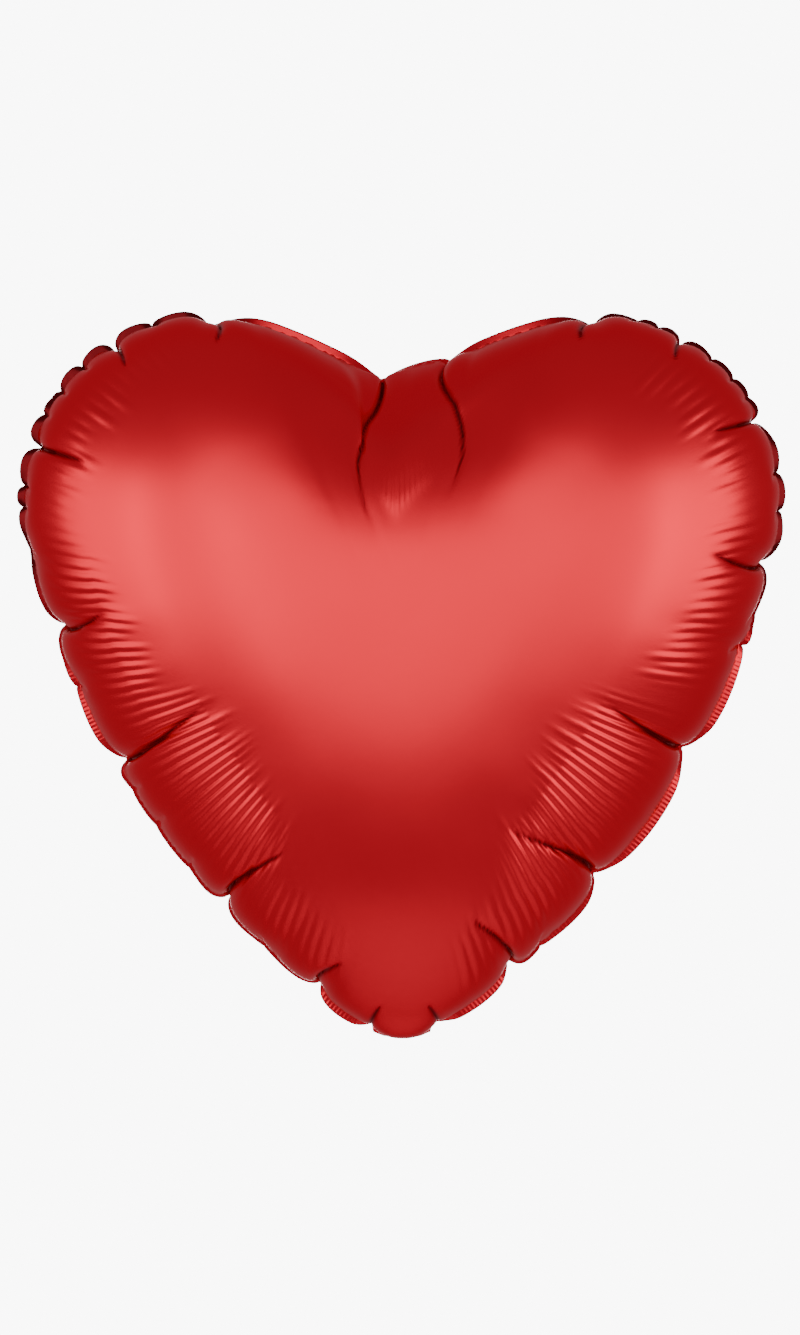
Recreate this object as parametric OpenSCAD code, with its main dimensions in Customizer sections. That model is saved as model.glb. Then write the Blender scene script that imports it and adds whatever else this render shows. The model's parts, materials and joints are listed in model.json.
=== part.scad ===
/* [Inflated heart] */
// Width over the sealed border, lobe to lobe
overall_w = 382; // [300:1:450]
// Height over the sealed border, from the neck to the top of the lobes
overall_h = 361; // [320:1:430]
// Depth through the middle of the inflated heart
overall_d = 200; // [150:1:220]
// Radius of each lobe, over the border
lobe_r = 94; // [80:1:105]
// Radius of the long flank between a lobe and the neck
flank_r = 400; // [340:5:600]
// Slope of the top edge, from a lobe down to the cleft
top_slope = 20; // [12:1:28]
// Height of the middle of both domes, as a share of the height
crown_share = 0.55; // [0.5:0.01:0.62]
// Shape of the domes: below 1 they stand up full beside the seam, above 1 they are lean there
fullness = 0.95; // [0.9:0.05:1.4]

/* [Film] */
// Thickness that each film is drawn with
film_t = 0.4; // [0.3:0.05:0.6]
// Width of the heat-sealed border
border_w = 5; // [3:0.5:8]

/* [Neck] */
// Width of the neck between its side seals
neck_w = 30; // [26:1:40]
// Length of the neck from the heart to its end
neck_len = 70; // [55:1:95]
// Radius of the inflation hole in the back layer
inflation_r = 6; // [4:0.5:8]
// Radius of the ribbon hole through the end
ribbon_r = 3; // [2:0.25:4]

/* [Valve] */
// Width of the two valve films
valve_w = 24; // [20:1:25]
// How far the valve films reach up inside the heart
valve_inside = 85; // [50:1:110]
// How far the valve films reach down inside the neck
valve_outside = 42; // [36:1:46]
// Thickness of the printed release coating
coating_t = 0.1; // [0.05:0.05:0.2]
// Length and width of the release coating
coating_len = 30; // [20:1:40]
coating_w = 12; // [8:1:18]

/* [Hidden] */
$fn = 64;

foil_red = [0.78, 0.10, 0.13];
foil_dark = [0.45, 0.05, 0.07];
valve_clear = [0.86, 0.88, 0.90];
print_white = [0.95, 0.95, 0.93];

// The seam lies in the plane y = 0, with the neck's root at the origin and the front towards -Y.
// The outline is drawn in X and Z. Every function takes how far it lies outside the seam line.
seam_lobe_r = lobe_r - border_w;
seam_flank_r = flank_r - border_w;
lobe = [overall_w/2 - lobe_r, overall_h - lobe_r];
neck_corner = [neck_w/2, 0];

// The flank's arc runs through the neck's corner and is tangent to the lobe inside it.
corner_dist = norm(neck_corner - lobe);
corner_dir = (neck_corner - lobe) / corner_dist;
centre_dist = flank_r - lobe_r;
along = (centre_dist^2 - flank_r^2 + corner_dist^2) / (2*corner_dist);
aside = sqrt(centre_dist^2 - along^2);
flank = lobe + along*corner_dir + aside*[corner_dir[1], -corner_dir[0]];
join_angle = atan2(lobe[1] - flank[1], lobe[0] - flank[0]);

// Steps along each stretch of half the outline
flank_steps = 20;
lobe_steps = 26;
top_steps = 6;
neck_steps = 4;

function on_arc(centre, r, a) = centre + r*[cos(a), sin(a)];
function between(a, b, i, steps) = a + (b - a)*i/steps;

// Where the flank's arc starts, at the level of the neck's top edge
function foot_z(out) = border_w - out;
function foot_angle(out) = asin((foot_z(out) - flank[1]) / (seam_flank_r + out));

// Where the sloping top edge meets the middle line
function cleft_z(out) =
    (lobe[1]*cos(top_slope) - lobe[0]*sin(top_slope) + seam_lobe_r + out) / cos(top_slope);

// Half the outline, from the middle of the neck round the right lobe to just before the cleft
function half_outline(out) = let (
        foot = on_arc(flank, seam_flank_r + out, foot_angle(out)),
        top = on_arc(lobe, seam_lobe_r + out, 90 + top_slope),
        cleft = [0, cleft_z(out)]
    ) concat(
        [for (i = [0:neck_steps - 1]) between([0, foot[1]], foot, i, neck_steps)],
        [for (i = [0:flank_steps - 1])
            on_arc(flank, seam_flank_r + out, between(foot_angle(out), join_angle, i, flank_steps))],
        [for (i = [0:lobe_steps - 1])
            on_arc(lobe, seam_lobe_r + out, between(join_angle, 90 + top_slope, i, lobe_steps))],
        [for (i = [0:top_steps - 1]) between(top, cleft, i, top_steps)]
    );

// The whole outline, counterclockwise from the middle of the neck
function outline(out) = let (half = half_outline(out), n = len(half)) concat(
        half,
        [[0, cleft_z(out)]],
        [for (i = [1:n - 1]) [-half[n - i][0], half[n - i][1]]]
    );

// Domes: rings that shrink towards the crown while they rise from the border's face
crown = [0, overall_h*crown_share];
dome_rise = overall_d/2 - film_t;
dome_rings = 12;
skin_share = 1 - film_t/seam_lobe_r;
function ring_angle(i) = 90*i/dome_rings;
function rise(i) = pow(sin(ring_angle(i)), fullness);
function dome_ring(edge, i, share, height) = [for (p = edge)
        let (q = crown + (p - crown)*cos(ring_angle(i))*share) [q[0], film_t + height*rise(i), q[1]]
    ];

module dome() {
    edge = outline(0);
    n = len(edge);
    outer = [for (i = [0:dome_rings - 1]) each dome_ring(edge, i, 1, dome_rise)];
    inner = [for (i = [0:dome_rings - 1]) each dome_ring(edge, i, skin_share, dome_rise - film_t)];
    shift = len(outer) + 1;
    peak_out = [crown[0], film_t + dome_rise, crown[1]];
    peak_in = [crown[0], dome_rise, crown[1]];
    quads = [for (i = [0:dome_rings - 2], j = [0:n - 1])
            [i*n + j, i*n + (j + 1)%n, (i + 1)*n + (j + 1)%n, (i + 1)*n + j]];
    caps = [for (j = [0:n - 1]) [(dome_rings - 1)*n + j, (dome_rings - 1)*n + (j + 1)%n, shift - 1]];
    skin = concat([for (q = quads) each [[q[0], q[1], q[2]], [q[0], q[2], q[3]]]], caps);
    foot = [for (j = [0:n - 1]) each [
            [(j + 1)%n, j, shift + j], [(j + 1)%n, shift + j, shift + (j + 1)%n]]];
    polyhedron(
        points = concat(outer, [peak_out], inner, [peak_in]),
        faces = concat(skin, [for (f = skin) [f[2] + shift, f[1] + shift, f[0] + shift]], foot)
    );
}

// Border: a flat ring that opens for the valve at the neck, where a bridge steps over the films
land_w = 1;
bridge_lap = 0.8;
module seam_border() {
    // A plate drawn in X and Z is turned to lie on the seam plane, on its +Y side
    translate([0, film_t, 0])
        rotate([90, 0, 0])
            linear_extrude(film_t)
                difference() {
                    polygon(outline(border_w));
                    polygon(outline(-land_w));
                    translate([-valve_w/2, -1])
                        square([valve_w, border_w + land_w + 2]);
                }
    translate([-valve_w/2 - bridge_lap, film_t, 0])
        cube([valve_w + 2*bridge_lap, film_t, border_w]);
}

// Neck: it hinges just below the border and rests against the slope of the back dome
hinge_drop = 1;
root_gap = 1.7;
slope_gap = 1;
stack_t = 4*film_t;

// Angle from straight up at which the neck clears every ring of the back dome
function lean(i) = let (
        y = film_t + dome_rise*rise(i),
        z = hinge_drop + crown[1] - (crown[1] - border_w)*cos(ring_angle(i)),
        reach = norm([y, z])
    ) atan2(y, z) + asin((stack_t/2 + slope_gap)/reach);
neck_rest = max([for (i = [1:dome_rings - 1]) lean(i)]);

mouth_len = valve_outside - root_gap;
hole_inset = 9;
inflation_at = valve_outside - inflation_r - 6;
end_round = 5;

// The neck is drawn hanging straight down from the hinge, then folded up behind the heart
module folded() {
    translate([0, 0, -hinge_drop])
        rotate([180 - neck_rest, 0, 0])
            children();
}

// One outer layer of the neck, on its +Y side: it lies on its twin at the sides and the end,
// and a bridge steps over the valve film in the middle
pocket_w = valve_w + 0.4;
pocket_end = valve_outside + 0.5;
module neck_layer() {
    difference() {
        union() {
            translate([0, film_t, 0])
                rotate([90, 0, 0])
                    linear_extrude(film_t)
                        difference() {
                            neck_outline();
                            translate([-pocket_w/2, -pocket_end])
                                square([pocket_w, pocket_end]);
                        }
            translate([-pocket_w/2 - bridge_lap, film_t, -pocket_end - bridge_lap])
                cube([pocket_w + 2*bridge_lap, film_t, pocket_end + bridge_lap - root_gap]);
        }
        neck_hole(neck_len - hole_inset, ribbon_r);
    }
}

// The neck's outline in X and Z: square at the heart, with rounded corners at the end
module neck_outline() {
    translate([-neck_w/2, -neck_len + end_round])
        square([neck_w, neck_len - end_round - root_gap]);
    translate([-neck_w/2 + end_round, -neck_len])
        square([neck_w - 2*end_round, end_round]);
    for (side = [-1, 1])
        translate([side*(neck_w/2 - end_round), -neck_len + end_round])
            circle(r = end_round);
}

// A round hole through the neck on its +Y side, down from the hinge
module neck_hole(down, r) {
    translate([0, 3*film_t, -down])
        rotate([90, 0, 0])
            cylinder(h = 4*film_t, r = r);
}

// One valve film inside the heart, on the +Y side of the seam plane
module valve_film() {
    translate([-valve_w/2, 0, 0])
        cube([valve_w, film_t, valve_inside]);
}

// One valve film inside the neck, on the +Y side of the neck's middle plane
module valve_mouth() {
    translate([-valve_w/2, 0, -valve_outside])
        cube([valve_w, film_t, mouth_len]);
}

module coating_plate() {
    translate([-coating_w/2, -coating_t, border_w])
        cube([coating_w, coating_t, coating_len]);
}

module front_panel() {
    color(foil_red)
        mirror([0, 1, 0])
            dome();
}

module back_panel() {
    color(foil_red)
        dome();
}

module front_seam() {
    color(foil_dark)
        mirror([0, 1, 0])
            seam_border();
}

module back_seam() {
    color(foil_dark)
        seam_border();
}

module valve_front_film() {
    color(valve_clear)
        difference() {
            mirror([0, 1, 0])
                valve_film();
            coating_plate();
        }
}

module valve_back_film() {
    color(valve_clear)
        valve_film();
}

module release_coating() {
    color(print_white)
        coating_plate();
}

module neck_front_layer() {
    color(foil_red)
        folded()
            mirror([0, 1, 0])
                neck_layer();
}

module neck_back_layer() {
    color(foil_red)
        folded()
            difference() {
                neck_layer();
                neck_hole(inflation_at, inflation_r);
            }
}

module valve_mouth_front() {
    color(valve_clear)
        folded()
            mirror([0, 1, 0])
                valve_mouth();
}

module valve_mouth_back() {
    color(valve_clear)
        folded()
            difference() {
                valve_mouth();
                neck_hole(inflation_at, inflation_r);
            }
}

front_panel();
back_panel();
front_seam();
back_seam();
valve_front_film();
valve_back_film();
release_coating();
neck_front_layer();
neck_back_layer();
valve_mouth_front();
valve_mouth_back();
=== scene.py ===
import json
import math

import bpy
import numpy as np
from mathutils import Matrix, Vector
from mathutils.geometry import delaunay_2d_cdt


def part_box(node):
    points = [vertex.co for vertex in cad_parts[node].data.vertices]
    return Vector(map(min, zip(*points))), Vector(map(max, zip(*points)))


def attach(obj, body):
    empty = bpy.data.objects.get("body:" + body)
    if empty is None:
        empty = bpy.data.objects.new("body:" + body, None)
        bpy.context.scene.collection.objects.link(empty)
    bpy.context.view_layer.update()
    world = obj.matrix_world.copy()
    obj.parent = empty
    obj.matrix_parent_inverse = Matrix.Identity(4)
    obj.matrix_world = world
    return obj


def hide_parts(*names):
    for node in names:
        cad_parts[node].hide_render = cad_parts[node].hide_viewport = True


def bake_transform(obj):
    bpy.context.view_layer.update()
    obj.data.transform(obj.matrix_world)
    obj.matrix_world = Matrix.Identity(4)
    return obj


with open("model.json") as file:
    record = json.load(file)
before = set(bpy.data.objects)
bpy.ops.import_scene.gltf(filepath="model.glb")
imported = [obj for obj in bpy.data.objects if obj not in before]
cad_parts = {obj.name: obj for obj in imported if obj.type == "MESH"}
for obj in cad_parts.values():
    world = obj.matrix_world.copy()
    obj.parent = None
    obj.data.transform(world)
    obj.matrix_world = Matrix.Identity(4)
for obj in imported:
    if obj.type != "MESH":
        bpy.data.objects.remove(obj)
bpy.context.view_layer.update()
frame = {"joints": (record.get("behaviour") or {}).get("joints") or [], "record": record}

mm = 0.001
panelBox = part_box("back_panel")
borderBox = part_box("back_seam")
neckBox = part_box("neck_back_layer")
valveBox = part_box("valve_back_film")
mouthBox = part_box("valve_mouth_back")
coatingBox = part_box("release_coating")
hingePoint = Vector(frame["joints"][0]["pos_m"])


# small helpers

def smooth(low, high, x):
    # 0 below low, 1 above high, eased between
    u = np.clip((x - low) / (high - low), 0, 1)
    return u * u * (3 - 2 * u)


def blur(values, sigma):
    # periodic gaussian blur down the first axis, sigma in samples
    kernel = np.exp(-2 * (np.pi * np.fft.fftfreq(len(values)) * sigma) ** 2)
    kernel = kernel.reshape((-1,) + (1,) * (values.ndim - 1))
    return np.real(np.fft.ifft(np.fft.fft(values, axis=0) * kernel, axis=0))


def roundAt(values, share):
    # a closed line of samples read at shares 0 to 1, with a cubic between samples
    count = len(values)
    place = share * count
    first = np.floor(place).astype(int)
    f = (place - first)[:, None]
    a, b, c, d = (values[(first + k) % count] for k in (-1, 0, 1, 2))
    square = 2 * a - 5 * b + 4 * c - d
    cube = 3 * b - a - 3 * c + d
    return 0.5 * (2 * b + (c - a) * f + square * f * f + cube * f ** 3)


def makePiece(name, points, faces, material, body=None, nodes=()):
    mesh = bpy.data.meshes.new(name)
    mesh.from_pydata(points.tolist() if hasattr(points, "tolist") else points, [], faces)
    mesh.update()
    mesh.shade_smooth()
    mesh.materials.append(material)
    piece = bpy.data.objects.new(name, mesh)
    bpy.context.scene.collection.objects.link(piece)
    if body:
        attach(piece, body)
    if nodes:
        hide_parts(*nodes)
    return piece


# outline of the heart

heart = {
    "lobeRadius": 94 * mm,  # over the border
    "flankRadius": 400 * mm,
    "topSlope": 20,  # degrees, from a lobe down to the cleft
    "cleftShift": -8 * mm,  # the cleft of the inflated heart has slipped a little to the left
    "middle": 205 * mm,  # height of the point that the film's rings close on
}
overallW = borderBox[1].x - borderBox[0].x
overallH = borderBox[1].z
borderW = (overallW - (panelBox[1].x - panelBox[0].x)) / 2
neckW = neckBox[1].x - neckBox[0].x
middle = np.array([0, heart["middle"]])


def halfOutline(out, shift):
    # right half in X and Z, from the neck to the cleft; out is how far it lies outside the seam line
    lobeR, flankR = heart["lobeRadius"], heart["flankRadius"]
    lobe = np.array([overallW / 2 - lobeR, overallH - lobeR])
    corner = np.array([neckW / 2, 0])
    span = np.hypot(*(corner - lobe))
    toward = (corner - lobe) / span
    along = ((flankR - lobeR) ** 2 - flankR ** 2 + span ** 2) / (2 * span)
    aside = math.sqrt((flankR - lobeR) ** 2 - along ** 2)
    flank = lobe + along * toward + aside * np.array([toward[1], -toward[0]])
    joinAngle = math.atan2(lobe[1] - flank[1], lobe[0] - flank[0])
    footAngle = math.asin((borderW - out - flank[1]) / (flankR - borderW + out))
    slope = math.radians(heart["topSlope"])

    def arc(centre, radius, angles):
        return centre + radius * np.stack([np.cos(angles), np.sin(angles)], -1)

    flankArc = arc(flank, flankR - borderW + out, np.linspace(footAngle, joinAngle, 300, endpoint=False))
    lobeArc = arc(lobe, lobeR - borderW + out, np.linspace(joinAngle, math.pi / 2 + slope, 300))
    cleftZ = (lobe[1] * math.cos(slope) - lobe[0] * math.sin(slope) + lobeR - borderW + out) / math.cos(slope)
    foot = np.linspace([0, flankArc[0][1]], flankArc[0], 30, endpoint=False)
    top = np.linspace(lobeArc[-1], [shift, cleftZ], 80)[1:]
    return np.concatenate([foot, flankArc, lobeArc, top])


def evenly(line, count):
    walked = np.r_[0, np.cumsum(np.hypot(*np.diff(line, axis=0).T))]
    places = np.linspace(0, walked[-1], count)
    return np.stack([np.interp(places, walked, line[:, k]) for k in range(2)], 1)


def outline(out, count):
    right = evenly(halfOutline(out, heart["cleftShift"]), count // 2 + 1)
    left = evenly(halfOutline(out, -heart["cleftShift"]), count // 2 + 1)[::-1] * [-1, 1]
    return np.concatenate([right[:-1], left[:-1]])


# film full of gas

class Rings:
    # points on rings round the heart, dense at the rim and fewer towards the middle point

    def __init__(self, counts, crowding):
        self.counts = np.array(counts)
        even = np.linspace(0, 1, len(counts) + 1)[:-1]
        self.depths = even * (1 + crowding * even) / (1 + crowding)
        self.starts = np.r_[0, np.cumsum(self.counts)]
        self.total = self.starts[-1] + 1
        self.share = np.concatenate([np.arange(c) / c for c in counts] + [[0.0]])
        self.depth = np.concatenate([np.full(c, d) for c, d in zip(counts, self.depths)] + [[1.0]])
        quads, triangles = [], []
        for ring in range(len(counts) - 1):
            a, b, count = self.starts[ring], self.starts[ring + 1], counts[ring]
            if counts[ring + 1] == count:
                j = np.arange(count)
                k = (j + 1) % count
                quads.append(np.stack([a + j, a + k, b + k, b + j], 1))
            else:
                j = np.arange(count // 2)
                k = (j + 1) % (count // 2)
                first, second, third = a + 2 * j, a + 2 * j + 1, a + (2 * j + 2) % count
                triangles.append(np.stack([first, second, b + j], 1))
                triangles.append(np.stack([b + j, second, b + k], 1))
                triangles.append(np.stack([second, third, b + k], 1))
        last = np.arange(counts[-1])
        fan = [self.starts[-2] + last, self.starts[-2] + (last + 1) % counts[-1]]
        triangles.append(np.stack(fan + [np.full(counts[-1], self.total - 1)], 1))
        self.quads, self.triangles = np.concatenate(quads), np.concatenate(triangles)

    def spread(self, loop):
        # flat places of all points inside a closed line of samples
        out = np.empty((self.total, 2))
        out[-1] = middle
        for ring, count in enumerate(self.counts):
            edge = roundAt(loop, np.arange(count) / count)
            out[self.starts[ring]:self.starts[ring + 1]] = middle + (edge - middle) * (1 - self.depths[ring])
        return out

    def read(self, values, share, depth):
        # values of this grid's points, read at other places
        edges = np.r_[self.depths, 1.0]
        ring = np.clip(np.searchsorted(edges, depth, side="right") - 1, 0, len(edges) - 2)
        f = ((depth - edges[ring]) / (edges[ring + 1] - edges[ring]))[:, None]

        def onRing(which):
            out = np.empty((len(share), values.shape[1]))
            for r in np.unique(which):
                here = which == r
                if r == len(self.counts):
                    out[here] = values[-1]
                else:
                    out[here] = roundAt(values[self.starts[r]:self.starts[r + 1]], share[here])
            return out

        return onRing(ring) * (1 - f) + onRing(ring + 1) * f


def apart(links, total):
    # sorts links into groups in which no two share a point
    used = [0] * total
    group = [0] * len(links)
    for i, (a, b) in enumerate(links.tolist()):
        taken = used[a] | used[b]
        pick = 0
        while taken >> pick & 1:
            pick += 1
        group[i] = pick
        used[a] |= 1 << pick
        used[b] |= 1 << pick
    group = np.array(group)
    return [links[group == g] for g in range(group.max() + 1)]


class Film:
    # a sheet of points and links: links are drawn back to their flat length, though under much gas
    # they stay too long, and the gas pushes the sheet towards -Y

    def __init__(self, rings, flat):
        self.rings = rings
        q, t = rings.quads, rings.triangles
        corners = [q[:, [0, 1]], q[:, [1, 2]], q[:, [2, 3]], q[:, [3, 0]], q[:, [0, 2]], q[:, [1, 3]]]
        corners += [t[:, [0, 1]], t[:, [1, 2]], t[:, [2, 0]]]
        links = np.unique(np.sort(np.concatenate(corners), axis=1), axis=0)
        skips = []  # links between next neighbours but one resist sharp bends
        for ring, count in enumerate(rings.counts):
            j = np.arange(count)
            skips.append(np.stack([rings.starts[ring] + j, rings.starts[ring] + (j + 2) % count], 1))
            if ring + 2 < len(rings.counts) and rings.counts[ring + 2] == count:
                skips.append(np.stack([rings.starts[ring] + j, rings.starts[ring + 2] + j], 1))
        self.linkGroups = apart(links, rings.total)
        self.bendGroups = apart(np.sort(np.concatenate(skips), axis=1), rings.total)
        self.faces = np.concatenate([q[:, [0, 1, 2]], q[:, [0, 2, 3]], t])
        a, b, c = (flat[self.faces[:, k]] for k in range(3))
        areas = 0.5 * np.abs((b - a)[:, 0] * (c - a)[:, 1] - (b - a)[:, 1] * (c - a)[:, 0])
        self.area = np.bincount(self.faces.ravel(), np.repeat(areas, 3), rings.total) / 3
        self.give = np.clip(np.median(self.area) / self.area, 0.05, 20)
        self.rim = np.arange(rings.counts[0])
        self.points = np.stack([flat[:, 0], np.zeros(rings.total), flat[:, 1]], 1)
        self.moved = np.zeros_like(self.points)
        self.cut(flat)

    def cut(self, flat):
        # takes every link's length from a new flat pattern
        self.linkLengths = [np.linalg.norm(flat[g[:, 0]] - flat[g[:, 1]], axis=1) for g in self.linkGroups]
        self.bendLengths = [np.linalg.norm(flat[g[:, 0]] - flat[g[:, 1]], axis=1) for g in self.bendGroups]

    def pull(self, groups, lengths, push, strength=1.0):
        x, give = self.points, self.give
        for group, length in zip(groups, lengths):
            a, b = group[:, 0], group[:, 1]
            d = x[b] - x[a]
            now = np.sqrt(np.einsum("ij,ij->i", d, d)) + 1e-12
            off = (now - length) / now * strength
            off = np.where(off < 0, off * push, off) / (give[a] + give[b])
            d *= off[:, None]
            x[a] += d * give[a][:, None]
            x[b] -= d * give[b][:, None]

    def gas(self):
        x, f = self.points, self.faces
        normal = np.cross(x[f[:, 1]] - x[f[:, 0]], x[f[:, 2]] - x[f[:, 0]]) / 6
        total = [np.bincount(f.ravel(), np.repeat(normal[:, k], 3), len(x)) for k in range(3)]
        return np.stack(total, 1) / self.area[:, None]

    def run(self, steps, pressure, push, bend=0.0, rim=None, damping=0.97):
        # push is how much a link resists being squeezed; rim holds the rim's points still
        for _ in range(steps):
            before = self.points.copy()
            self.points += self.moved * damping + self.gas() * pressure
            for _ in range(2):
                if bend:
                    self.pull(self.bendGroups, self.bendLengths, 1.0, bend)
                self.pull(self.linkGroups, self.linkLengths, push)
                self.points[self.rim, 1] = 0
                if rim is not None:
                    self.points[self.rim] = rim
            self.moved = self.points - before

    def centreOn(self, target):
        # turns and shifts the sheet so that its rim lies best on a line in X and Z
        flat = self.points[:, [0, 2]]
        rim = flat[self.rim]
        u, _, v = np.linalg.svd((rim - rim.mean(0)).T @ (target - target.mean(0)))
        self.points[:, [0, 2]] = (flat - rim.mean(0)) @ (u @ v) + target.mean(0)


# inflating the heart

creaseStyle = {
    "depth": 2.2,  # scales how far the long creases pull the rim in
    "shortDepth": 1.2,
    "short": 8,  # length in mm up to which a crease is no more than a notch
    "pinch": 0.35,  # how far the long creases are pressed in before the film settles
    "pinchWidth": 4.5 * mm,
    "turnover": 60 * mm,  # radius by which the film turns over from the seam to the front
}
# share of the way round from the tip, up the right side first; how far the rim is pulled in and length,
# in mm; lean in degrees, towards higher shares
creases = [
    (0.016, 1.8, 14, -20), (0.056, 4, 45, -16), (0.070, 1.5, 5, 0), (0.108, 4, 66, -16), (0.174, 4, 55, 7),
    (0.224, 2, 6, 0), (0.238, 1, 4, 0), (0.260, 4, 42, 16), (0.283, 1.5, 4, 0), (0.299, 2, 5, 0),
    (0.323, 3.5, 29, 10), (0.333, 1.2, 4, 0), (0.343, 1.5, 4, 0), (0.355, 1.5, 4, 0), (0.370, 3, 16, -22),
    (0.381, 1.3, 4, 0), (0.390, 1, 4, 0), (0.409, 3.5, 22, -20), (0.472, 2, 88, -30), (0.502, 2, 90, 34),
    (0.581, 3.5, 24, 25), (0.606, 1.5, 4, 0), (0.625, 3.5, 18, 17), (0.641, 2, 5, 0), (0.655, 2, 5, 0),
    (0.667, 1.3, 4, 0), (0.681, 4, 34, -6), (0.699, 2, 5, 0), (0.708, 1.5, 4, 0), (0.726, 1, 4, 0),
    (0.762, 4, 34, -17), (0.789, 1.2, 4, 0), (0.827, 4, 58, -8), (0.840, 1, 4, 0), (0.858, 1, 4, 0),
    (0.881, 1, 4, 0), (0.902, 4, 52, 15), (0.928, 1.3, 4, 0), (0.957, 3.5, 27, 25), (0.986, 1.8, 14, 20),
]
creaseBow = {0.472: 8.5, 0.502: 9.0}  # these two straighten: share of the lean lost, per metre
inflation = {
    "seamOut": 2.5 * mm,  # where the pulled-in seam lies, outside the plain seam line
    "patternRounds": 12,
    "coarsePressure": 3e-4,
    "medium": (400, 6e-5, 0.2 * mm),  # steps, pressure, and the jitter that starts the wrinkles
    "fine": (250, 1.2e-5, 0.03 * mm),
    "rimShare": 0.08,  # share of the depth over which a shifted rim takes the film with it
    "bend": 0.05,
    # the film above gives a little under the gas; one that doesn't is cut larger by this
    "unstretched": 1.052,
}


def outwardOf(line):
    # unit directions away from the heart along a closed line, softened at the corners
    along = np.roll(line, -1, 0) - np.roll(line, 1, 0)
    outward = blur(np.stack([along[:, 1], -along[:, 0]], 1), len(line) * 0.004)
    return outward / np.hypot(*outward.T)[:, None]


def betweenCreases(share):
    # how far the straight line from crease to crease is pulled in, and a round arch over it (0 to 1)
    at = np.array([c[0] for c in creases])
    isLong = [c[2] > creaseStyle["short"] for c in creases]
    depths = [creaseStyle["depth"] if long else creaseStyle["shortDepth"] for long in isLong]
    pulled = np.array([c[1] for c in creases]) * depths * mm
    after = np.searchsorted(at, share, side="right") % len(at)
    before = after - 1
    gap = (at[after] - at[before]) % 1
    u = ((share - at[before]) % 1) / gap
    return pulled[before] * (1 - u) + pulled[after] * u, np.sqrt(np.clip(4 * u * (1 - u), 0, 1))


def rimLine(count):
    # the pulled-in seam: round lobes between the creases
    line = outline(inflation["seamOut"], count)
    share = np.arange(count) / count
    pulled, arch = betweenCreases(share)
    return line + outwardOf(line) * (pulled * (arch - 1))[:, None]


def cutPattern(rings):
    # finds the flat heart whose seam lands on the outline once the film is full of gas
    target = outline(inflation["seamOut"], rings.counts[0])
    loop = middle + (target - middle) * 1.2
    film = Film(rings, rings.spread(loop))
    for turn in range(inflation["patternRounds"]):
        film.run(400 if turn == 0 else 150, inflation["coarsePressure"], 0.0, damping=0.98)
        film.moved[:] = 0
        film.centreOn(target)
        loop = loop + 0.5 * blur(target - film.points[film.rim][:, [0, 2]], 1.5)
        film.cut(rings.spread(loop))
    return film, loop


def inwardOf(rings, loop):
    # flat distance of every point from the rim
    return rings.depth * np.hypot(*(roundAt(loop, rings.share) - middle).T)


def seenInward(inward):
    # the same distance as it looks from the front, where the film starts edge on
    radius = creaseStyle["turnover"]
    turn = np.minimum(inward / radius, math.pi / 2)
    return radius * (1 - np.cos(turn)) + inward - radius * turn


def besideCrease(rings, seen, at, lean):
    # distance to one side of a crease's course
    aside = ((rings.share - at + 0.5) % 1 - 0.5) * seamLength * (1 - rings.depth)
    return aside - seen * math.tan(math.radians(lean)) * (1 - creaseBow.get(at, 0) * seen)


def creaseReach(seen, length):
    # 1 at the rim, 0 from the crease's inner end on
    return np.clip(1 - (seen / (length * mm)) ** 2, 0, 1)


def refine(coarse, loop, rings, run, rng, pinch=0.0):
    # carries a film on to finer rings, draws the rim into lobes and lets the wrinkles form
    steps, pressure, jitter = run
    film = Film(rings, rings.spread(loop))
    film.points = coarse.rings.read(coarse.points, rings.share, rings.depth)
    rim = rimLine(rings.counts[0])
    shift = rim - film.points[film.rim][:, [0, 2]]
    nearRim = np.exp(-rings.depth / inflation["rimShare"])
    film.points[:, [0, 2]] += roundAt(shift, rings.share) * nearRim[:, None]
    film.points[:, 1] += rng.normal(0, jitter, rings.total) * (rings.depth > 0)
    if pinch:
        pressed = np.zeros(rings.total)
        seen = seenInward(inwardOf(rings, loop))
        for at, pulled, length, lean in creases:
            if length > creaseStyle["short"]:
                aside = besideCrease(rings, seen, at, lean) / creaseStyle["pinchWidth"]
                pressed = np.maximum(pressed, np.exp(-aside ** 2) * creaseReach(seen, length))
        film.points[:, 1] *= 1 - pinch * pressed
    film.points[film.rim] = np.stack([rim[:, 0], np.zeros(len(rim)), rim[:, 1]], 1)
    film.run(steps, pressure, 1.0, inflation["bend"], film.points[film.rim].copy())
    return film


seamLoop = outline(0, 2000)
seamLength = np.hypot(*(seamLoop - np.roll(seamLoop, 1, 0)).T).sum()
rng = np.random.default_rng(3)
coarseRings = Rings([96] * 9 + [48] * 4 + [24] * 2 + [12], 0.8)
mediumRings = Rings([384] * 16 + [192] * 10 + [96] * 6 + [48] * 4 + [24] * 2 + [12], 2.2)
fineRings = Rings([1152] * 34 + [576] * 12 + [288] * 8 + [144] * 6 + [72] * 4 + [36] * 2 + [18], 3.0)
shownRings = Rings([2304] * 22 + [1152] * 22 + [576] * 10 + [288] * 6 + [144] * 4 + [72] * 2 + [36], 3.0)


def inflate():
    coarse, loop = cutPattern(coarseRings)
    coarse.points[:, 1] = -np.abs(coarse.points[:, 1])
    print("pattern cut:", np.round(np.ptp(loop, axis=0), 4), "m flat")
    medium = refine(coarse, loop, mediumRings, inflation["medium"], rng, creaseStyle["pinch"])
    fine = refine(medium, loop, fineRings, inflation["fine"], rng)
    return fine.points, loop


filmPoints, patternLoop = inflate()
print("film settled, depth of one side", round(-filmPoints[:, 1].min(), 4))

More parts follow.
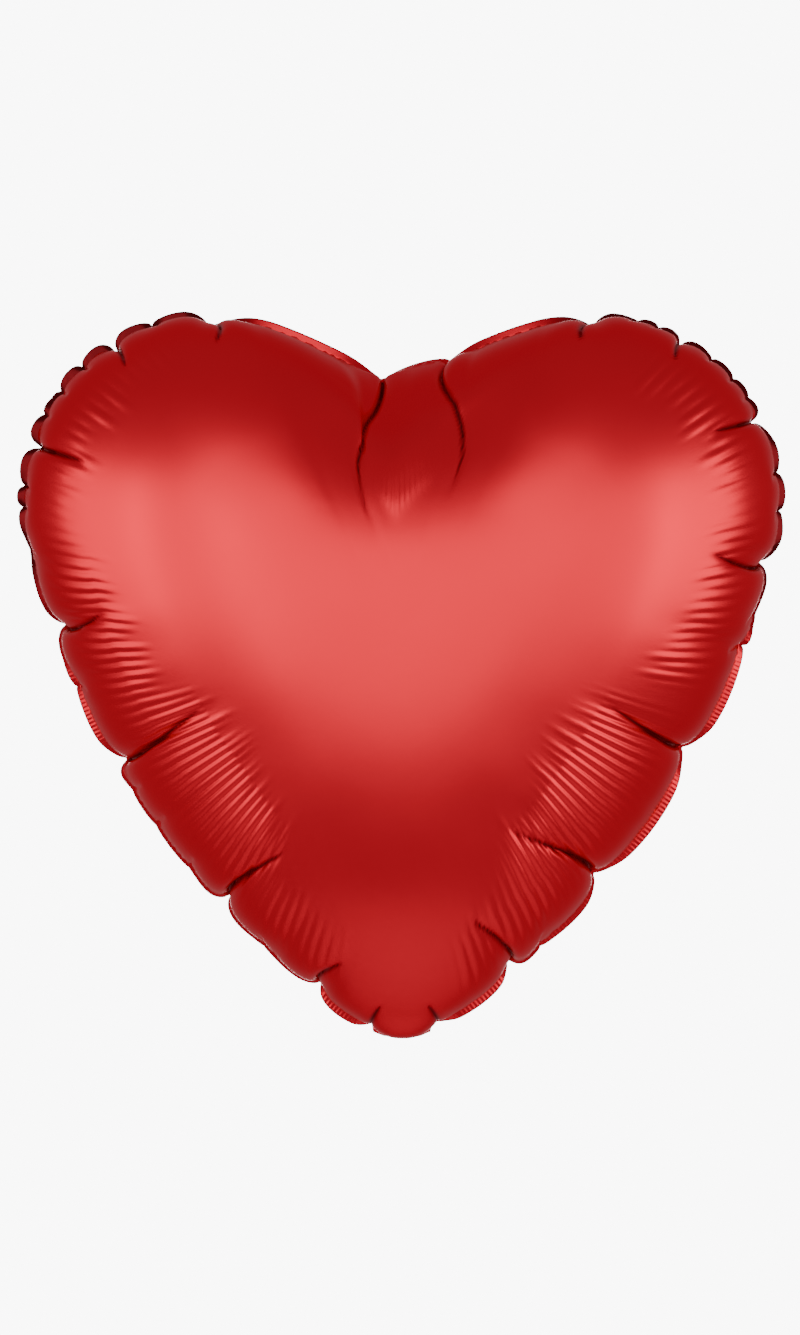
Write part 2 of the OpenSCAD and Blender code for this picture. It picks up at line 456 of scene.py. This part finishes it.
# finishing the film's surface: calmer top slopes, sharp crease lines, fine ribs, and a mask of painted shade
# deep in the long creases
finish = {
    "even": 3.6 * mm,  # small wrinkles are smoothed along the rings
    # stretches of the rim that are smoothed more: from, to, by how much and how far inward in mm
    "calm": [(0.420, 0.466, 9, 400), (0.522, 0.570, 9, 400), (0.462, 0.520, 16, 160)],
    "creaseDepth": 1.1,  # of how far the rim is pulled in
    "creaseWidth": 1.5 * mm,
    "paintedFoldShadeWidth": 1.15 * mm,  # of the painted dark line of shade deep in a crease
    "cleftCreaseDepth": 2.2,
    "cleftPanel": (0.488, 12, 55, 1.6),  # share, half width, reach and height in mm of the panel between them
    "cleftRibs": (2.5, 0.6, 40, 70),  # pitch, height, start and end in mm, at the panel's lower end
    "valley": (6, 46, 34, 7),  # middle and half width in X, evened out over these distances in X and Z, in mm
    "ribPitch": 6.2 * mm,
    "ribHeight": 1.1 * mm,
    "neckClearance": 1.5 * mm,
    "dentSides": 0.9,  # slope of the sides of the dent under the neck
    "tipBulge": 3.7 * mm,  # the gas pushes the film down over the neck's fold
    "ribs": [  # share of the way round, half width of the stretch, strength, start and end inward in mm
        (0.125, 0.075, 1.0, 14, 66), (0.250, 0.050, 0.7, 16, 46), (0.335, 0.045, 0.6, 16, 38),
        (0.660, 0.060, 0.5, 16, 34), (0.755, 0.050, 0.9, 14, 46),
        (0.860, 0.070, 1.0, 14, 62), (0.050, 0.030, 0.6, 12, 44), (0.945, 0.030, 0.5, 12, 44),
    ],
}


def besideShare(share, at):
    return np.abs((share - at + 0.5) % 1 - 0.5)


def normalsOf(points, rings):
    faces = np.concatenate([rings.quads[:, :3], rings.quads[:, [0, 2, 3]], rings.triangles])
    a, b, c = (points[faces[:, k]] for k in range(3))
    normal = np.cross(b - a, c - a)
    total = [np.bincount(faces.ravel(), np.repeat(normal[:, k], 3), rings.total) for k in range(3)]
    total = np.stack(total, 1)
    return total / np.linalg.norm(total, axis=1)[:, None]


def fillValley(points, seen):
    # evens out the film's depth between the two lobes, below the cleft
    centre, half, overX, overZ = finish["valley"]
    cell = 2.0  # mm
    x, z = points[:, 0] / mm / cell + 110, points[:, 2] / mm / cell + 10
    shape = (220, 220)
    inner = seen > 12
    place = x[inner].astype(int) * shape[1] + z[inner].astype(int)
    count = np.bincount(place, minlength=shape[0] * shape[1]).reshape(shape)
    depth = np.bincount(place, points[inner, 1], shape[0] * shape[1]).reshape(shape) / np.maximum(count, 1)

    def even(field):
        return blur(blur(field, overX / cell).T, overZ / cell).T

    evened = even(depth) / np.maximum(even((count > 0).astype(float)), 1e-6)
    i, j = np.floor(x - 0.5).astype(int), np.floor(z - 0.5).astype(int)
    f, g = x - 0.5 - i, z - 0.5 - j
    level = (evened[i, j] * (1 - f) * (1 - g) + evened[i + 1, j] * f * (1 - g)
             + evened[i, j + 1] * (1 - f) * g + evened[i + 1, j + 1] * f * g)
    mask = np.exp(-((points[:, 0] / mm - centre) / half) ** 4)
    mask *= smooth(14, 42, seen) * smooth(heart["middle"] + 15 * mm, heart["middle"] + 65 * mm, points[:, 2])
    out = points.copy()
    out[:, 1] += (level - points[:, 1]) * mask
    return out


def finishFilm(points, tipBulge, rng):
    rings = shownRings
    out = fineRings.read(points, rings.share, rings.depth)
    inward = inwardOf(rings, patternLoop)
    seen = seenInward(inward)
    for r, count in enumerate(rings.counts[:-6]):
        here = slice(rings.starts[r], rings.starts[r + 1])
        share = rings.share[here]
        spacing = seamLength * (1 - rings.depths[r]) / count
        inside = smooth(0, 0.03, rings.depths[r])
        ringNow = out[here] + (blur(out[here], finish["even"] / spacing) - out[here]) * inside
        softened = ringNow.copy()
        for low, high, width, reach in finish["calm"]:
            mask = smooth(low - 0.012, low + 0.004, share) * (1 - smooth(high - 0.004, high + 0.012, share))
            mask = mask * inside * (1 - smooth(0.7 * reach, reach, seen[here] / mm))
            softened += (blur(ringNow, width * mm / spacing) - ringNow) * mask[:, None]
        out[here] = softened
    out = fillValley(out, seen / mm)
    push = np.zeros(rings.total)
    paintedFoldMask = np.zeros(rings.total)
    for at, pulled, length, lean in creases:
        aside = np.abs(besideCrease(rings, seen, at, lean))
        reach = creaseReach(seen, length)
        share = finish["cleftCreaseDepth"] if at in creaseBow else finish["creaseDepth"]
        depth = share * pulled * mm * smooth(0, 0.01, rings.depth)
        push -= depth * np.exp(-aside / finish["creaseWidth"]) * reach
        # painted shade: a mask of the dark line deep in each long crease, which later darkens the films' base
        # colour
        if length > creaseStyle["short"]:
            narrower = finish["paintedFoldShadeWidth"] * (0.35 + 0.65 * reach) * (0.8 if at in creaseBow else 1)
            paintedFoldMask = np.maximum(paintedFoldMask, np.exp(-(aside / narrower) ** 2) * smooth(0, 0.35, reach))
    at, half, reach, height = finish["cleftPanel"]
    aside = besideShare(rings.share, at) * seamLength * (1 - rings.depth) / mm
    push += height * mm * np.exp(-(aside / half) ** 4) * (1 - smooth(0.5 * reach, 1.4 * reach, seen / mm))
    pitch, height, start, end = finish["cleftRibs"]
    deep = smooth(start, 1.3 * start, seen / mm) * (1 - smooth(0.9 * end, end, seen / mm))
    push += height * mm * np.abs(np.sin(math.pi * aside / pitch)) * deep * np.exp(-(aside / half) ** 6)
    fromTip = np.minimum(rings.share, 1 - rings.share)
    low = smooth(0, 6, inward / mm) * (1 - smooth(12, 34, inward / mm))
    push += tipBulge * (1 - smooth(0.001, 0.019, fromTip)) * low
    # one arched rib after the other, each with its own height and length
    ribCount = round(seamLength / finish["ribPitch"])
    ribPlace = rings.share * ribCount
    which = np.floor(ribPlace).astype(int) % ribCount
    arch = np.abs(np.sin(math.pi * ribPlace))
    height = rng.uniform(0.7, 1.1, ribCount)[which]
    longer = rng.uniform(-6, 6, ribCount)[which]
    for at, half, strength, start, end in finish["ribs"]:
        near = 1 - smooth(0.6, 1.0, besideShare(rings.share, at) / half)
        deep = smooth(0.5 * start, 1.5 * start, seen / mm)
        deep *= 1 - smooth(0.7 * end, 1.1 * end, seen / mm - longer)
        push += strength * finish["ribHeight"] * near * deep * arch * height
    return out + normalsOf(out, rings) * push[:, None], paintedFoldMask


rimPoints = filmPoints[:fineRings.counts[0]][:, [0, 2]]
front, paintedFoldShade = finishFilm(filmPoints, finish["tipBulge"], np.random.default_rng(5))
back = finishFilm(filmPoints, 0, np.random.default_rng(6))[0] * [1, -1, 1]
# the back film gives way to the neck that lies folded against it
ribbonPoint = next(Vector(m["pos_m"]) for m in frame["record"]["mounts"] if m["name"] == "ribbon_hole")
neckLine = (ribbonPoint - hingePoint).normalized()
lowest = hingePoint.z + back[:, 1] * neckLine.z / neckLine.y + finish["neckClearance"]
lowest -= finish["dentSides"] * np.maximum(np.abs(back[:, 0]) - neckW / 2 - finish["neckClearance"], 0)
gap = back[:, 2] - lowest
back[:, 2] = lowest + 0.5 * (gap + np.sqrt(gap ** 2 + (1 * mm) ** 2))
filmFaces = shownRings.quads.tolist() + shownRings.triangles.tolist()
print("film finished")


# shader sockets that can be used in sums
class Value:
    def __init__(self, tree, socket):
        self.tree, self.socket = tree, socket

    def math(self, operation, first, second):
        return addNode(self.tree, "ShaderNodeMath", {"operation": operation}, {0: first, 1: second})

    def __add__(self, other):
        return self.math("ADD", self, other)

    def __radd__(self, other):
        return self.math("ADD", other, self)

    def __mul__(self, other):
        return self.math("MULTIPLY", self, other)

    def __rmul__(self, other):
        return self.math("MULTIPLY", other, self)


def addNode(tree, kind, settings=None, inputs=None, output=0):
    # settings are set first; an input is a plain value or the Value it is linked to
    node = tree.nodes.new(kind)
    for name, setting in (settings or {}).items():
        setattr(node, name, setting)
    for name, value in (inputs or {}).items():
        if isinstance(value, Value):
            tree.links.new(value.socket, node.inputs[name])
        else:
            node.inputs[name].default_value = value
    return Value(tree, node.outputs[output])


def newMaterial(name, look):
    # a Principled material: look gives the sockets' plain values
    material = bpy.data.materials.new(name)
    material.use_nodes = True
    tree = material.node_tree
    shader = tree.nodes["Principled BSDF"]
    for socket, value in look.items():
        shader.inputs[socket].default_value = value
    return material, tree, shader


def noise(tree, scale, detail=3.0):
    place = addNode(tree, "ShaderNodeTexCoord", output=3)
    inputs = {"Vector": place, "Scale": scale, "Detail": detail, "Roughness": 0.5}
    return addNode(tree, "ShaderNodeTexNoise", {}, inputs)


def mixColour(tree, share, first, second):
    # sockets 6 and 7 are the colours of a Mix node, and output 2 is its colour
    return addNode(tree, "ShaderNodeMix", {"data_type": "RGBA"}, {0: share, 6: first, 7: second}, output=2)


foilLook = {
    "Base Color": (0.84, 0.016, 0.034, 1),
    "Metallic": 1.0,
    "Roughness": 0.32,
    "Specular Tint": (1.0, 0.45, 0.47, 1),  # of the film seen at a slant
    "Coat Weight": 0.05,
    "Coat Roughness": 0.35,
}


# painted shade: the near-black red that the base colour is darkened to deep in the creases, and as a painted
# dark reflection along the border's top
paintedShadeColour = (0.05, 0.003, 0.004, 1)


def shadePiece(piece, values):
    # painted shade: how far the foil's colour is darkened at each point, standing in for the shade deep
    # inside a fold and for the dark room mirrored on the border's top
    piece.data.attributes.new("shade", "FLOAT", "POINT").data.foreach_set("value", values.astype(np.float32))


def foilMaterial(name, tone=1.0, rough=0.32):
    # satin metallised film: the print's tone and the gloss wander a little
    material, tree, shader = newMaterial(name, foilLook)
    red = [c * tone for c in foilLook["Base Color"][:3]] + [1]
    deep = [c * tone * 0.90 for c in foilLook["Base Color"][:3]] + [1]
    colour = mixColour(tree, noise(tree, 9.0), deep, red)
    # painted shade: the base colour is mixed towards the near-black red wherever the shade attribute is set
    shade = addNode(tree, "ShaderNodeAttribute", {"attribute_name": "shade"}, output=2)
    colour = mixColour(tree, shade, colour, paintedShadeColour)
    tree.links.new(colour.socket, shader.inputs["Base Color"])
    gloss = noise(tree, 26.0, 4.0) * 0.07 + (rough - 0.035)
    tree.links.new(gloss.socket, shader.inputs["Roughness"])
    grain = {"Strength": 0.10, "Distance": 0.2 * mm, "Height": noise(tree, 900.0, 2.0)}
    grain = addNode(tree, "ShaderNodeBump", {}, grain)
    tree.links.new(grain.socket, shader.inputs["Normal"])
    return material


redFoil = foilMaterial("red foil")
borderFoil = foilMaterial("border foil", 0.9, 0.30)
neckFoil = foilMaterial("neck foil", 0.95, 0.32)

clearFilm, clearTree, clearShader = newMaterial("clear valve film", {
    "Base Color": (0.86, 0.89, 0.92, 1), "Roughness": 0.22, "Alpha": 0.30, "IOR": 1.45,
})
haze = noise(clearTree, 40.0) * 0.12 + 0.16
clearTree.links.new(haze.socket, clearShader.inputs["Roughness"])
whitePrint, printTree, printShader = newMaterial("white release print", {
    "Base Color": (0.88, 0.88, 0.85, 1), "Roughness": 0.8,
})
mottle = noise(printTree, 120.0) * 0.15 + 0.7
printTree.links.new(mottle.socket, printShader.inputs["Roughness"])
print("materials ready")

# the two big films
patternArea = 0.5 * abs(np.sum(patternLoop[:, 0] * np.roll(patternLoop[:, 1], -1)
                               - np.roll(patternLoop[:, 0], -1) * patternLoop[:, 1]))
patternArea *= inflation["unstretched"] ** 2
filmGap = 0.15 * mm  # half the space between the two films at the rim
# painted shade: how strongly the crease mask darkens the films' colour
paintedFoldShadeStrength = 0.95
front[:, 1] -= filmGap
frontFilm = makePiece("frontFilm", front, filmFaces, redFoil, "envelope", ["front_panel"])
shadePiece(frontFilm, paintedFoldShadeStrength * paintedFoldShade)
back[:, 1] += filmGap
backFaces = [face[::-1] for face in filmFaces]
backFilm = makePiece("backFilm", back, backFaces, redFoil, "envelope", ["back_panel"])
shadePiece(backFilm, paintedFoldShadeStrength * paintedFoldShade)
print("front and back films made")

# the sealed border outside the seam, pleated by the pull of the film
border = {
    "width": borderW - 0.8 * mm,
    "atThroat": 0.1 * mm,
    "inside": 1.0 * mm,  # how far its inner edge reaches in between the two films
    "thickness": 0.2 * mm,
    "count": 2304,
    "steps": 6,
    "pleatPitch": 2.1 * mm,
    "pleatHeight": 0.16 * mm,
    "backTilt": 62,  # degrees that it leans back where the film hides it
}
# where the border shows past the front film: share, half width, how far it stands out (0 to 1)
borderShows = [
    (0.036, 0.020, 0.9), (0.085, 0.022, 0.4), (0.140, 0.032, 0.8), (0.205, 0.030, 0.8), (0.290, 0.030, 0.5),
    (0.350, 0.030, 0.2), (0.390, 0.020, 0.3), (0.440, 0.035, 0.7), (0.540, 0.040, 0.8), (0.620, 0.045, 1.0),
    (0.690, 0.035, 0.9), (0.745, 0.018, 0.3), (0.800, 0.026, 0.5), (0.970, 0.016, 0.8),
]


def borderStrip():
    count = border["count"]
    share = np.arange(count) / count
    rim = roundAt(rimPoints, share)
    outward = outwardOf(outline(inflation["seamOut"], count))
    shown = np.zeros(count)
    for at, half, amount in borderShows:
        shown = np.maximum(shown, amount * (1 - smooth(0.5, 1.0, besideShare(share, at) / half)))
    shown *= betweenCreases(share)[1]
    tilt = np.radians(border["backTilt"]) * (1 - shown)
    pleat = np.sin(2 * math.pi * share * round(seamLength / border["pleatPitch"]))
    fromTip = np.minimum(share, 1 - share)
    pleat *= border["pleatHeight"] * (1 - smooth(0.20, 0.26, fromTip))
    throat = 1 - smooth(0.011, 0.018, fromTip)
    width = border["width"] * (1 - throat) + border["atThroat"] * throat
    rows = []
    for step in range(border["steps"] + 1):
        u = step / border["steps"]
        reach = (width + border["inside"]) * u - border["inside"]
        beyond = np.maximum(reach, 0)
        flat = rim + outward * (reach + beyond * (np.cos(tilt) - 1))[:, None]
        depth = beyond * np.sin(tilt) + pleat * smooth(0.2, 0.6, u) * (1 - throat)
        rows.append(np.stack([flat[:, 0], depth, flat[:, 1]], 1))
    lower = np.concatenate(rows) - [0, border["thickness"] / 2, 0]
    upper = np.concatenate(rows) + [0, border["thickness"] / 2, 0]
    points = np.concatenate([lower, upper])
    total = len(lower)
    faces = []
    j = np.arange(count)
    k = (j + 1) % count
    for step in range(border["steps"]):
        a, b = step * count, (step + 1) * count
        faces += np.stack([a + j, b + j, b + k, a + k], 1)[:, ::-1].tolist()
        faces += np.stack([total + a + j, total + b + j, total + b + k, total + a + k], 1).tolist()
    last = border["steps"] * count
    faces += np.stack([j, k, total + k, total + j], 1)[:, ::-1].tolist()
    faces += np.stack([last + j, last + k, total + last + k, total + last + j], 1).tolist()
    return points, faces


borderPoints, borderFaces = borderStrip()
sealedBorder = makePiece("sealedBorder", borderPoints, borderFaces, borderFoil, "envelope",
                         ["front_seam", "back_seam"])
# painted dark reflection: towards the top the border's colour is darkened as if it mirrored the dark room,
# except beside the cleft
borderHeight = borderPoints[:, 2] / mm
borderPaintedReflection = smooth(185, 235, borderHeight) * smooth(60, 95, np.abs(borderPoints[:, 0]) / mm)
shadePiece(sealedBorder, 0.9 * borderPaintedReflection)
print("border made")


# flat shapes that are cut from film and then bent: neck and valve
def cutShape(corners, holes, pitch):
    # triangles inside a closed line of corners and outside round holes (x, y, radius)
    corners = [Vector(c) for c in corners]
    points = list(corners)
    edges = [(i, (i + 1) % len(corners)) for i in range(len(corners))]
    for x, y, radius in holes:
        first = len(points)
        turns = 40
        points += [Vector((x + radius * math.cos(a), y + radius * math.sin(a)))
                   for a in np.linspace(0, 2 * math.pi, turns, endpoint=False)]
        edges += [(first + i, first + (i + 1) % turns) for i in range(turns)]
    low = [min(c[k] for c in corners) for k in range(2)]
    high = [max(c[k] for c in corners) for k in range(2)]
    for x in np.arange(low[0] + pitch / 2, high[0], pitch):
        for y in np.arange(low[1] + pitch / 2, high[1], pitch):
            clear = all(math.hypot(x - hx, y - hy) > hr + pitch * 0.4 for hx, hy, hr in holes)
            if clear and low[0] + pitch * 0.4 < x < high[0] - pitch * 0.4:
                points.append(Vector((x, y)))
    made = delaunay_2d_cdt(points, edges, [], 1, 1e-7)
    flat, faces = made[0], made[2]
    kept = []
    for face in faces:
        cx = sum(flat[i].x for i in face) / len(face)
        cy = sum(flat[i].y for i in face) / len(face)
        if all(math.hypot(cx - hx, cy - hy) > hr for hx, hy, hr in holes):
            kept.append(list(face))
    return np.array([list(p) for p in flat]), kept


def thicken(points, faces, normals, thickness):
    # a closed thin solid from a sheet
    total = len(points)
    lower, upper = points - normals * thickness / 2, points + normals * thickness / 2
    seen = {}
    for face in faces:
        for i in range(len(face)):
            edge = (face[i], face[(i + 1) % len(face)])
            seen[edge] = seen.get(edge, 0) + 1
    rims = [e for e in seen if (e[1], e[0]) not in seen]
    solid = [[i + total for i in face] for face in faces] + [list(face)[::-1] for face in faces]
    solid += [[a, b, b + total, a + total] for a, b in rims]
    return np.concatenate([lower, upper]), solid


neck = {
    "length": (ribbonPoint - hingePoint).length + 9 * mm,
    "width": neckW,
    "corner": 5 * mm,
    "ribbonInset": 9 * mm,
    "ribbonRadius": 3 * mm,
    "fillDown": 30 * mm,  # from the fold line to the fill hole
    "fillRadius": 6 * mm,
    "film": 0.12 * mm,
    "foldRadius": 1.3 * mm,
    "above": 3.2 * mm,  # how far the film runs up over the border
    "layerGap": 0.3 * mm,  # each layer's distance from the neck's middle
    "curl": 8,  # degrees that the end curls towards the heart
    "foldWaves": 0.5 * mm,
    "drawnUp": 2.2 * mm,  # how far the two ends of the fold are drawn up
}
foldTurn = math.acos(-neckLine.z)
foldTangent = neck["foldRadius"] * math.tan(foldTurn / 2)
foldStart = neck["above"] - (hingePoint.z + foldTangent)
foldLength = neck["foldRadius"] * foldTurn
neckTotal = foldStart + foldLength + neck["length"] - foldTangent
pathSteps = np.linspace(0, neckTotal, 1200)
pathTurn = foldTurn * np.clip((pathSteps - foldStart) / foldLength, 0, 1)
pathTurn += math.radians(neck["curl"]) * smooth(0.2, 1.0, (pathSteps - foldStart) / (neckTotal - foldStart))
stepLength = pathSteps[1]
pathY = np.r_[0, np.cumsum(np.sin(pathTurn[:-1]) * stepLength)]
pathZ = neck["above"] - np.r_[0, np.cumsum(np.cos(pathTurn[:-1]) * stepLength)]


def downNeck(distance):
    # place along the neck's path of a point that lies that far beyond the fold line
    return foldStart + foldLength + distance - foldTangent


def bendToNeck(flat, offset):
    # flat x across and v along the path; offset is towards the outside of the fold, at the front
    x, v = flat[:, 0], flat[:, 1]
    waves = neck["foldWaves"]
    turn = np.interp(v, pathSteps, pathTurn)
    normal = np.stack([np.zeros(len(v)), -np.cos(turn), -np.sin(turn)], 1)
    away = np.abs(v - foldStart - foldLength / 2)
    across = np.sin(2 * math.pi * x / (7 * mm) + 60 * v)
    ripple = waves * np.exp(-away / (14 * mm)) * smooth(0, 3 * mm, away) * across
    ripple += 0.5 * waves * np.sin(2 * math.pi * v / (26 * mm)) * smooth(6 * mm, 20 * mm, v)
    drawnUp = neck["drawnUp"] * smooth(8 * mm, 15 * mm, np.abs(x)) * np.exp(-(away / (7 * mm)) ** 2)
    middlePath = np.stack([x, np.interp(v, pathSteps, pathY), np.interp(v, pathSteps, pathZ) + drawnUp], 1)
    return middlePath + normal * (offset + ripple)[:, None], normal


def roundedTab(width, start, end, corner):
    # corners of a strip that is square at its start and rounded at its end
    half = width / 2
    turn = np.linspace(0, math.pi / 2, 7)
    right = [(half - corner + corner * math.cos(a), end - corner + corner * math.sin(a)) for a in turn]
    return [(-half, start), (half, start)] + right + [(-x, v) for x, v in right[::-1]]


def neckPiece(name, side, holes, nodes):
    flat, faces = cutShape(roundedTab(neck["width"], 0, neckTotal, neck["corner"]), holes, 1.1 * mm)
    across = smooth(0, 2.5 * mm, neck["width"] / 2 - np.abs(flat[:, 0]))
    ends = smooth(0, 6 * mm, flat[:, 1]) * smooth(0, 16 * mm, neckTotal - flat[:, 1])
    offset = side * (0.1 * mm + (neck["layerGap"] - 0.1 * mm) * across * (0.4 + 0.6 * ends))
    points, normal = bendToNeck(flat, offset)
    points, faces = thicken(points, faces, normal, neck["film"])
    piece = makePiece(name, points, faces, neckFoil, nodes=nodes)
    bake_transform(piece)
    0.95 * neck["width"] * neckTotal
    return piece


ribbonHole = (0, downNeck(neck["length"] - neck["ribbonInset"]), neck["ribbonRadius"])
fillHole = (0, downNeck(neck["fillDown"]), neck["fillRadius"])
neckPiece("neckFront", 1, [ribbonHole], ["neck_front_layer"])
neckPiece("neckBack", -1, [ribbonHole, fillHole], ["neck_back_layer"])
print("neck made")

valve = {
    "width": valveBox[1].x - valveBox[0].x,
    "inside": valveBox[1].z,
    "mouthStart": 2.5 * mm,
    "film": 0.06 * mm,
    "gap": 0.12 * mm,
    "wave": 0.5 * mm,
}
mouthEnd = (Vector((0, mouthBox[1].y, mouthBox[1].z)) - hingePoint).dot(neckLine)


def valveSway(z):
    # the valve films hang side by side in one soft wave
    return valve["wave"] * np.sin(2 * math.pi * z / (55 * mm)) * smooth(4 * mm, 25 * mm, z)


def valvePiece(name, side, nodes):
    flat, faces = cutShape(roundedTab(valve["width"], 1.2 * mm, valve["inside"], 3 * mm), [], 1.4 * mm)
    depth = side * valve["gap"] + valveSway(flat[:, 1])
    points = np.stack([flat[:, 0], depth, flat[:, 1]], 1)
    points, faces = thicken(points, faces, np.array([[0.0, 1.0, 0.0]]), valve["film"])
    piece = makePiece(name, points, faces, clearFilm, "envelope", nodes)


def mouthPiece(name, side, holes, nodes):
    start, end = downNeck(valve["mouthStart"]), downNeck(mouthEnd)
    flat, faces = cutShape(roundedTab(valve["width"] - 1 * mm, start, end, 2 * mm), holes, 1.4 * mm)
    points, normal = bendToNeck(flat, np.full(len(flat), side * 0.06 * mm))
    points, faces = thicken(points, faces, normal, valve["film"])
    piece = makePiece(name, points, faces, clearFilm, "neck", nodes)
    end - start


valvePiece("valveFront", -1, ["valve_front_film"])
valvePiece("valveBack", 1, ["valve_back_film"])
mouthPiece("valveMouthFront", 1, [], ["valve_mouth_front"])
mouthPiece("valveMouthBack", -1, [fillHole], ["valve_mouth_back"])
coatingSize = coatingBox[1] - coatingBox[0]
coatingCorners = roundedTab(coatingSize.x, coatingBox[0].z, coatingBox[1].z, 1 * mm)
coatingFlat, coatingFaces = cutShape(coatingCorners, [], 1.4 * mm)
coatingDepth = valveSway(coatingFlat[:, 1]) - 0.02 * mm
coatingPoints = np.stack([coatingFlat[:, 0], coatingDepth, coatingFlat[:, 1]], 1)
coatingPoints, coatingFaces = thicken(coatingPoints, coatingFaces, np.array([[0.0, 1.0, 0.0]]), 0.03 * mm)
makePiece("releasePrint", coatingPoints, coatingFaces, whitePrint, "envelope",
          ["release_coating"])
print("valve made")

# studio: a pale floor far below, a bright backdrop, and five soft lights at the sides and in front
studio = {
    "floorDrop": 1600 * mm,
    "floorRadius": 1.4,
    "around": 0.42,  # light from all round
    "behind": 9.0,  # the bright backdrop, seen behind the heart
    "behindSize": 0.14,  # sine of the angle that it spans to each side
    "behindSoft": 0.012,  # how softly it fades out, as a cosine
    "distance": 3.0,  # camera to the seam plane
    "viewHeight": 667.5 * mm,  # how much of the seam plane's height the camera sees
    "aim": (-1 * mm, 183.75 * mm),  # X and Z at the middle of the view
}


def makeFloor():
    turns = 96
    a = np.linspace(0, 2 * math.pi, turns, endpoint=False)
    ring = np.stack([np.cos(a), np.sin(a), 0 * a], 1) * studio["floorRadius"] - [0, 0, studio["floorDrop"]]
    mesh = bpy.data.meshes.new("floor")
    mesh.from_pydata(ring.tolist(), [], [list(range(turns))])
    look = {"Base Color": (0.86, 0.86, 0.86, 1), "Roughness": 0.7}
    mesh.materials.append(newMaterial("pale floor", look)[0])
    floor = bpy.data.objects.new("floor", mesh)
    bpy.context.scene.collection.objects.link(floor)


def makeWorld():
    # dim all round, with a bright backdrop behind the heart
    world = bpy.data.worlds.new("studio")
    bpy.context.scene.world = world
    world.use_nodes = True
    tree = world.node_tree
    place = addNode(tree, "ShaderNodeTexCoord", output=0)
    backward = addNode(tree, "ShaderNodeSeparateXYZ", {}, {"Vector": place}, output=1)
    edge = math.sqrt(1 - studio["behindSize"] ** 2)
    ranges = {
        "Value": backward,
        "From Min": edge - studio["behindSoft"],
        "From Max": edge,
        "To Min": studio["around"],
        "To Max": studio["behind"],
    }
    level = addNode(tree, "ShaderNodeMapRange", {"interpolation_type": "SMOOTHSTEP"}, ranges)
    background = tree.nodes["Background"]
    tree.links.new(level.socket, background.inputs["Color"])
    background.inputs["Strength"].default_value = 1.0


def softLight(name, place, width, height, power):
    # aimed at the middle of the heart
    light = bpy.data.lights.new(name, "AREA")
    light.shape = "RECTANGLE"
    light.size, light.size_y, light.energy = width, height, power
    lamp = bpy.data.objects.new(name, light)
    bpy.context.scene.collection.objects.link(lamp)
    lamp.location = place
    lamp.rotation_euler = (Vector((0, 0, 0.5 * overallH)) - Vector(place)).to_track_quat("-Z", "Y").to_euler()


makeFloor()
makeWorld()
softLight("leftLight", (-1.25, -1.65, 0.40), 1.3, 1.6, 9)
softLight("rightLight", (1.30, -1.65, 0.40), 1.3, 1.6, 8.5)
softLight("leftSideLight", (-1.50, -0.55, 0.25), 1.3, 1.3, 9)
softLight("rightSideLight", (1.50, -0.55, 0.28), 1.2, 1.3, 10)
softLight("frontLight", (-0.1, -2.55, 0.78), 2.2, 2.55, 26)

camera = bpy.data.cameras.new("camera")
camera.sensor_width = 36
camera.lens = 36 * studio["distance"] / studio["viewHeight"]
camera.clip_end = 50
view = bpy.data.objects.new("camera", camera)
bpy.context.scene.collection.objects.link(view)
view.location = (studio["aim"][0], -studio["distance"], studio["aim"][1])
view.rotation_euler = (math.pi / 2, 0, 0)
bpy.context.scene.camera = view
print("studio ready")
